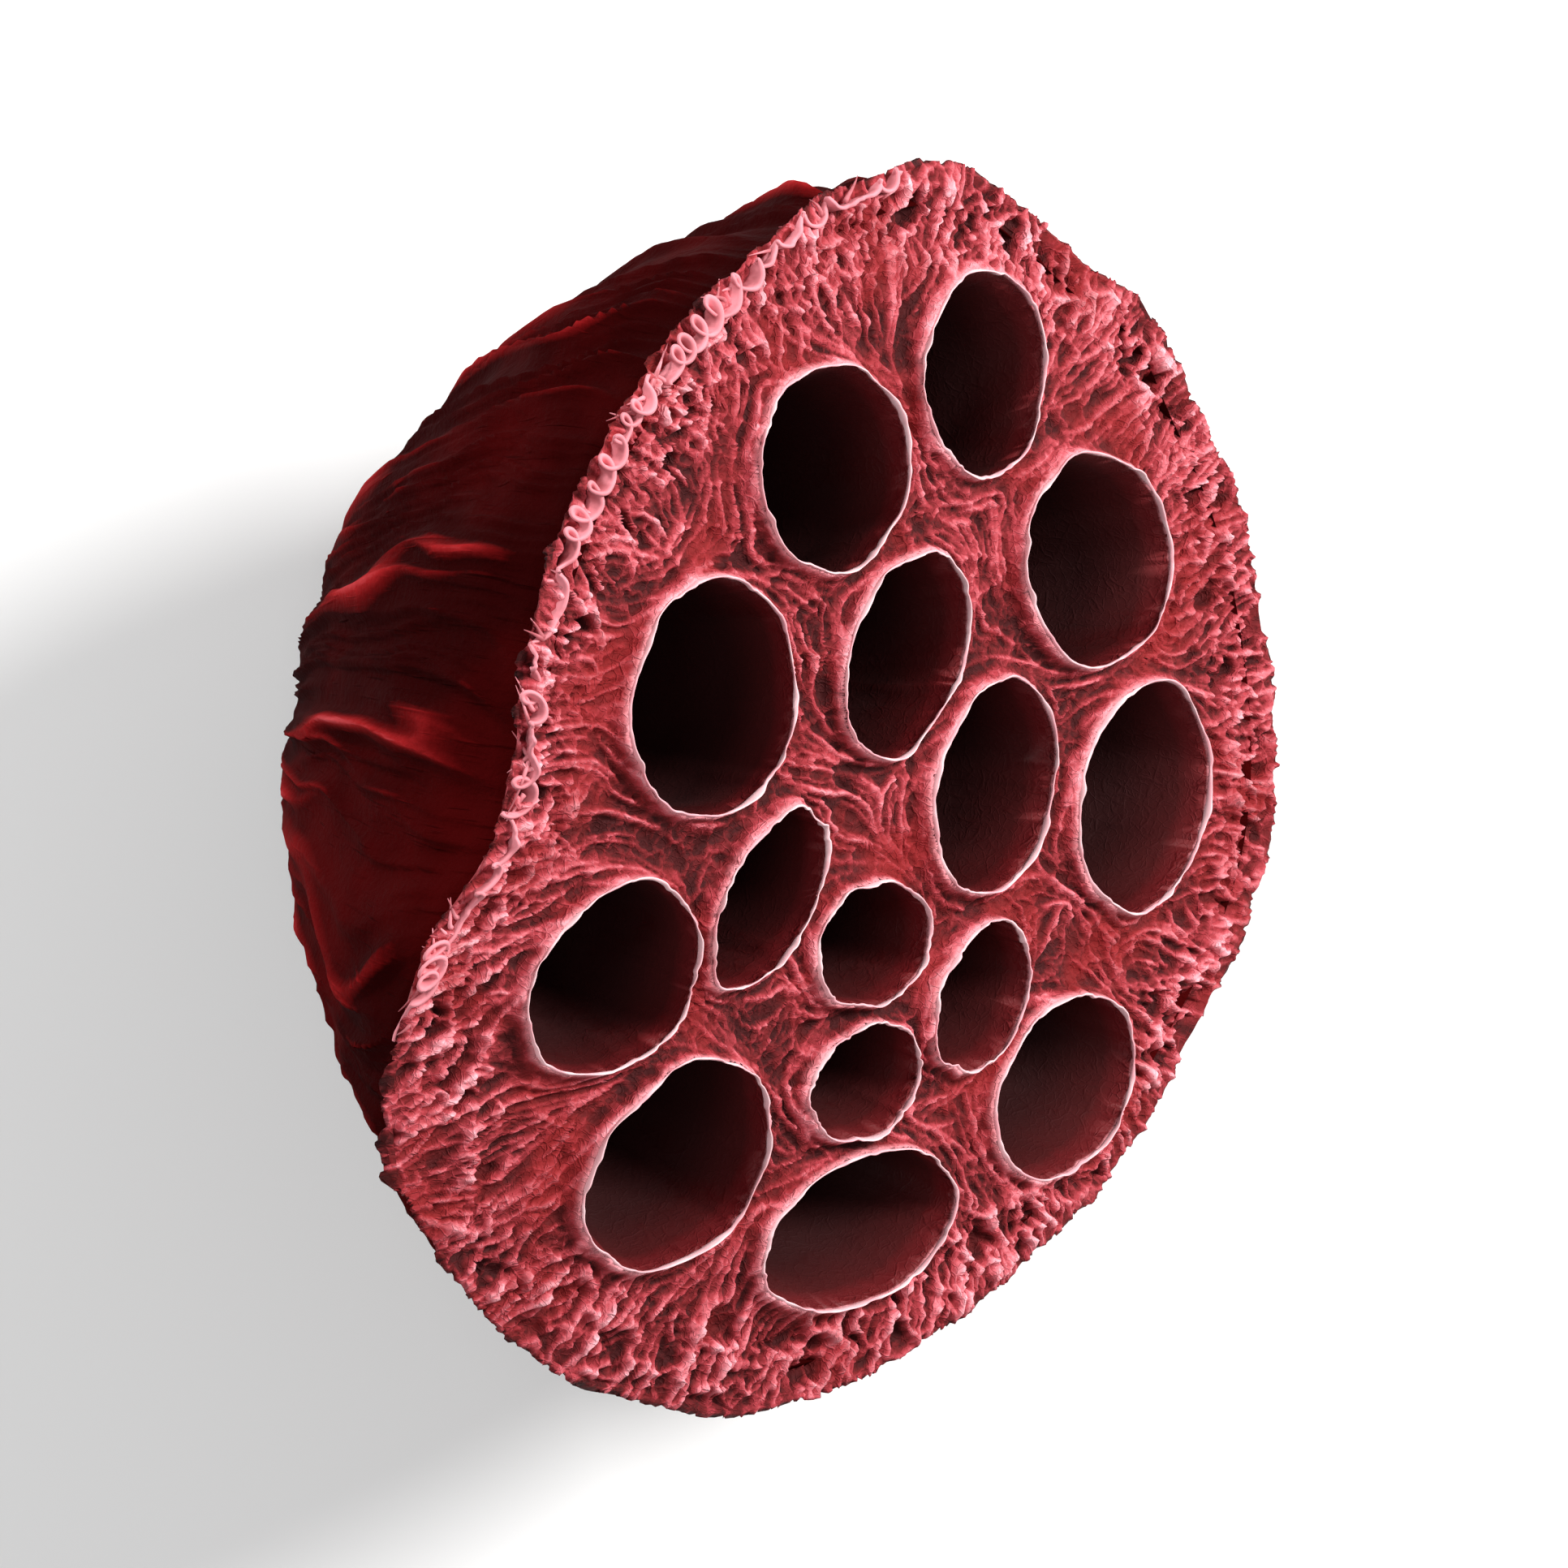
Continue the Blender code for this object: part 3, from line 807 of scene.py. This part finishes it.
def web_group():
    """A crisp web of dry threads at two sizes, from 0 in the gaps to 1 on a thread."""
    tree = bpy.data.node_groups.new("dry web", "ShaderNodeTree")
    tree.interface.new_socket("Web", in_out="OUTPUT", socket_type="NodeSocketFloat")
    out = tree.nodes.new("NodeGroupOutput")
    place = node(tree, "ShaderNodeTexCoord")
    stir = node(tree, "ShaderNodeTexNoise")
    wire(tree, place.outputs["Object"], stir.inputs["Vector"])
    stir.inputs["Scale"].default_value = 520
    stir.inputs["Detail"].default_value = 3
    shift = node(tree, "ShaderNodeVectorMath", operation="MULTIPLY_ADD")
    wire(tree, stir.outputs["Color"], shift.inputs[0])
    shift.inputs[1].default_value = (0.0014, 0.0014, 0.0014)
    wire(tree, place.outputs["Object"], shift.inputs[2])
    webs = []
    for scale, width in ((620, 0.085), (1500, 0.10)):
        cells = node(tree, "ShaderNodeTexVoronoi", feature="DISTANCE_TO_EDGE")
        wire(tree, shift.outputs[0], cells.inputs["Vector"])
        cells.inputs["Scale"].default_value = scale
        webs.append(spread(tree, cells.outputs["Distance"], width, 0.0))
    gate = spread(tree, stir.outputs[0], 0.40, 0.58)
    fine = sum_of(tree, "MULTIPLY", webs[1], 0.6)
    wire(tree, sum_of(tree, "MAXIMUM", sum_of(tree, "MULTIPLY", webs[0], gate), fine), out.inputs["Web"])
    return tree


def face_material(group):
    material, tree, shader = new_material("dyed seed face", 0.55)
    by_rim, crumple = dry_fibre(tree, group, stored(tree, "rim_grain", True), 1.9)
    by_mouth, _ = dry_fibre(tree, group, stored(tree, "mouth_grain", True), 1.9)
    web = node(tree, "ShaderNodeGroup", node_tree=web_group()).outputs["Web"]
    zone = spread(tree, stored(tree, "rim_gap"), 10.0, 5.0)
    streaks = node(tree, "ShaderNodeMix", data_type="FLOAT")
    wire(tree, zone, streaks.inputs[0])
    wire(tree, by_mouth, streaks.inputs[2])
    wire(tree, by_rim, streaks.inputs[3])
    streaks = streaks.outputs[0]
    # Lightness of the face: the dye's own tone from threads, web and grain, plus painted shade in pits and
    # low relief and painted light on ridges.
    tone_and_shade = sum_of(tree, "MULTIPLY", stored(tree, "pit_shade"), 0.40)
    tone_and_shade = sum_of(tree, "ADD", tone_and_shade, sum_of(tree, "MULTIPLY", stored(tree, "shade_by_height"), 0.16))
    tone_and_shade = sum_of(tree, "ADD", tone_and_shade, sum_of(tree, "MULTIPLY", stored(tree, "thread"), 0.30))
    tone_and_shade = sum_of(tree, "ADD", tone_and_shade, sum_of(tree, "MULTIPLY", web, 0.09))
    tone_and_shade = sum_of(tree, "ADD", tone_and_shade, 0.36)
    tone_and_shade = sum_of(tree, "ADD", tone_and_shade, sum_of(tree, "MULTIPLY", sum_of(tree, "SUBTRACT", streaks, 0.5), 0.30))
    tone_and_shade = sum_of(tree, "ADD", tone_and_shade, sum_of(tree, "MULTIPLY", sum_of(tree, "SUBTRACT", crumple, 0.5), 0.45))
    colour = dyes(tree, tone_and_shade, [
        (0.05, (0.040, 0.0012, 0.0018)), (0.25, (0.150, 0.0085, 0.0110)),
        (0.44, (0.360, 0.0350, 0.0470)), (0.66, (0.640, 0.1450, 0.1750)), (0.95, (0.920, 0.4200, 0.4700)),
    ])
    place = node(tree, "ShaderNodeTexCoord")
    patches = node(tree, "ShaderNodeTexNoise")
    wire(tree, place.outputs["Object"], patches.inputs["Vector"])
    patches.inputs["Scale"].default_value = 130
    patches.inputs["Detail"].default_value = 3
    stained = spread(tree, patches.outputs[0], 0.46, 0.70, 0.0, 0.60)
    colour = blend(tree, stained, colour, (0.26, 0.0100, 0.0110))
    lip = spread(tree, stored(tree, "mouth_gap"), 0.35, 0.0)
    colour = blend(tree, sum_of(tree, "MULTIPLY", lip, 0.5), colour, (0.90, 0.42, 0.46))
    deep = stored(tree, "cup_depth")
    # Inside the cells: a dark brown of their own, made darker with depth as painted shade deep in the cups.
    inside = dyes(tree, spread(tree, deep, 0.2, 8.0), [
        (0.0, (0.120, 0.0050, 0.0070)), (0.20, (0.055, 0.0025, 0.0030)), (1.0, (0.022, 0.0010, 0.0012)),
    ])
    colour = blend(tree, spread(tree, deep, 0.05, 0.35), colour, inside)
    wire(tree, colour, shader.inputs["Base Color"])
    wire(tree, spread(tree, tone_and_shade, 0.2, 0.9, 0.80, 0.45), shader.inputs["Roughness"])
    shader.inputs["Specular IOR Level"].default_value = 0.22
    height = sum_of(tree, "MULTIPLY", streaks, 0.7)
    height = sum_of(tree, "ADD", height, sum_of(tree, "MULTIPLY", crumple, 0.8))
    height = sum_of(tree, "ADD", height, sum_of(tree, "MULTIPLY", web, 0.5))
    height = sum_of(tree, "MULTIPLY", height, spread(tree, deep, 0.1, 1.5, 1.0, 0.25))
    bump = node(tree, "ShaderNodeBump")
    bump.inputs["Strength"].default_value = 0.75
    bump.inputs["Distance"].default_value = 0.00024
    wire(tree, height, bump.inputs["Height"])
    wire(tree, bump.outputs[0], shader.inputs["Normal"])
    return material


def wall_material(group):
    material, tree, shader = new_material("dyed pod wall", 0.5)
    streaks, crumple = dry_fibre(tree, group, stored(tree, "grain", True), 1.5)
    fine, _ = dry_fibre(tree, group, stored(tree, "grain", True), 4.0)
    # Lightness of the wall: the dye's own tone from streaks and grain, plus painted shade in the fold troughs
    # and painted light on the fold crests.
    tone_and_shade = sum_of(tree, "MULTIPLY", stored(tree, "shade_by_height"), 0.55)
    tone_and_shade = sum_of(tree, "ADD", tone_and_shade, sum_of(tree, "MULTIPLY", streaks, 0.58))
    tone_and_shade = sum_of(tree, "ADD", tone_and_shade, sum_of(tree, "MULTIPLY", fine, 0.48))
    tone_and_shade = sum_of(tree, "ADD", tone_and_shade, sum_of(tree, "MULTIPLY", crumple, 0.12))
    tone_and_shade = sum_of(tree, "SUBTRACT", tone_and_shade, 0.24)
    colour = dyes(tree, tone_and_shade, [
        (0.05, (0.022, 0.0005, 0.0006)), (0.28, (0.125, 0.0032, 0.0038)), (0.52, (0.330, 0.0130, 0.0150)),
        (0.82, (0.640, 0.0900, 0.1020)),
    ])
    place = node(tree, "ShaderNodeTexCoord")
    patches = node(tree, "ShaderNodeTexNoise")
    wire(tree, place.outputs["Object"], patches.inputs["Vector"])
    patches.inputs["Scale"].default_value = 55
    patches.inputs["Detail"].default_value = 4
    stained = spread(tree, patches.outputs[0], 0.45, 0.7, 0.0, 0.5)
    colour = blend(tree, stained, colour, (0.085, 0.0020, 0.0024))
    wire(tree, colour, shader.inputs["Base Color"])
    wire(tree, spread(tree, streaks, 0.1, 0.9, 0.80, 0.60), shader.inputs["Roughness"])
    shader.inputs["Specular IOR Level"].default_value = 0.012
    height = sum_of(tree, "ADD", streaks, sum_of(tree, "MULTIPLY", fine, 0.5))
    height = sum_of(tree, "ADD", height, sum_of(tree, "MULTIPLY", crumple, 0.3))
    bump = node(tree, "ShaderNodeBump")
    bump.inputs["Strength"].default_value = 1.0
    bump.inputs["Distance"].default_value = 0.0007
    wire(tree, height, bump.inputs["Height"])
    wire(tree, bump.outputs[0], shader.inputs["Normal"])
    return material


def paper_material(name, pale, deep, roughness):
    """Dry papery edge, paler where it is thin."""
    material, tree, shader = new_material(name, roughness)
    place = node(tree, "ShaderNodeTexCoord")
    spots = node(tree, "ShaderNodeTexNoise")
    wire(tree, place.outputs["Object"], spots.inputs["Vector"])
    spots.inputs["Scale"].default_value = 420
    spots.inputs["Detail"].default_value = 4
    thick = sum_of(tree, "SUBTRACT", 1.0, sum_of(tree, "MULTIPLY", stored(tree, "thin"), 0.8))
    share = sum_of(tree, "MULTIPLY", spread(tree, spots.outputs[0], 0.35, 0.60), thick)
    wire(tree, blend(tree, share, pale, deep), shader.inputs["Base Color"])
    bump = node(tree, "ShaderNodeBump")
    bump.inputs["Strength"].default_value = 0.4
    bump.inputs["Distance"].default_value = 0.0001
    wire(tree, spots.outputs[0], bump.inputs["Height"])
    wire(tree, bump.outputs[0], shader.inputs["Normal"])
    return material


# ---------------------------------------------------------------- the pod

fibre_grain = grain_group()
seed_face = make_seed_face()
pod_wall = make_wall()
cell_lips = make_lips()
rim_frill = make_frill()
rim_teeth = make_teeth()
seed_face.data.materials.append(face_material(fibre_grain))
pod_wall.data.materials.append(wall_material(fibre_grain))
lip_paper = paper_material("papery lip", (0.88, 0.55, 0.58), (0.70, 0.22, 0.27), 0.55)
cell_lips.data.materials.append(lip_paper)
frill_paper = paper_material("dry rim frill", (0.74, 0.24, 0.28), (0.22, 0.014, 0.020), 0.7)
rim_frill.data.materials.append(frill_paper)
rim_teeth.data.materials.append(frill_paper)
for piece in (seed_face, pod_wall, cell_lips, rim_frill, rim_teeth):
    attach(piece, "root")
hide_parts("lotus_pod")
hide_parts("lotus_pod")

# ---------------------------------------------------------------- floor, light and camera

bpy.ops.object.select_all(action="DESELECT")
bpy.ops.mesh.primitive_plane_add(size=6, location=(0, 0, 0))
floor = bpy.context.object
floor.name = "floor"
paper = bpy.data.materials.new("pale floor")
paper.use_nodes = True
paper.node_tree.nodes["Principled BSDF"].inputs["Base Color"].default_value = (0.86, 0.86, 0.86, 1)
paper.node_tree.nodes["Principled BSDF"].inputs["Roughness"].default_value = 0.9
floor.data.materials.append(paper)


def soft_light(name, direction, distance, size, power, colour=(1, 1, 1)):
    lamp = bpy.data.lights.new(name, "AREA")
    lamp.shape = "DISK"
    lamp.size = size
    lamp.energy = power
    lamp.color = colour
    holder = bpy.data.objects.new(name, lamp)
    bpy.context.scene.collection.objects.link(holder)
    target = Vector((0, 0, 0.035))
    direction = Vector(direction).normalized()
    holder.location = target + direction * distance
    holder.rotation_euler = direction.to_track_quat("Z", "Y").to_euler()


soft_light("key from the right", (0.66, 0.50, 0.66), 0.7, 0.26, 8.0, (1.0, 0.985, 0.97))
soft_light("soft fill from above", (-0.45, -0.1, 1.0), 1.0, 0.7, 3.4)
soft_light("low light along the wall", (-0.75, 0.75, 0.42), 0.6, 0.10, 1.7)
world = bpy.data.worlds.new("studio")
world.use_nodes = True
world.node_tree.nodes["Background"].inputs["Color"].default_value = (1, 1, 1, 1)
world.node_tree.nodes["Background"].inputs["Strength"].default_value = 0.32
bpy.context.scene.world = world
bpy.context.scene.view_settings.view_transform = "Standard"

VIEW_OFF_FACE = math.radians(50)  # between the face's outward direction and the camera
VIEW_ROLL = math.radians(7.5)
outward = Vector((math.cos(LEAN), 0, math.sin(LEAN)))
to_camera = Vector((math.cos(LEAN + VIEW_OFF_FACE), 0, math.sin(LEAN + VIEW_OFF_FACE)))
level = (outward - outward.dot(to_camera) * to_camera).normalized()
side = Vector((0, 1, 0))
right = level * math.cos(VIEW_ROLL) + side * math.sin(VIEW_ROLL)
up = side * math.cos(VIEW_ROLL) - level * math.sin(VIEW_ROLL)
lens = bpy.data.cameras.new("camera")
lens.sensor_width = 36
FRAME_WIDTH = 0.112
CAMERA_DISTANCE = 0.55
lens.lens = 36 * CAMERA_DISTANCE / FRAME_WIDTH
camera = bpy.data.objects.new("camera", lens)
bpy.context.scene.collection.objects.link(camera)
aim = Vector(FACE_MIDDLE) * 0.001 + right * -0.0082 + up * 0.0008
turn = Matrix((right, up, to_camera)).transposed().to_4x4()
camera.matrix_world = Matrix.Translation(aim + to_camera * CAMERA_DISTANCE) @ turn
bpy.context.scene.camera = camera
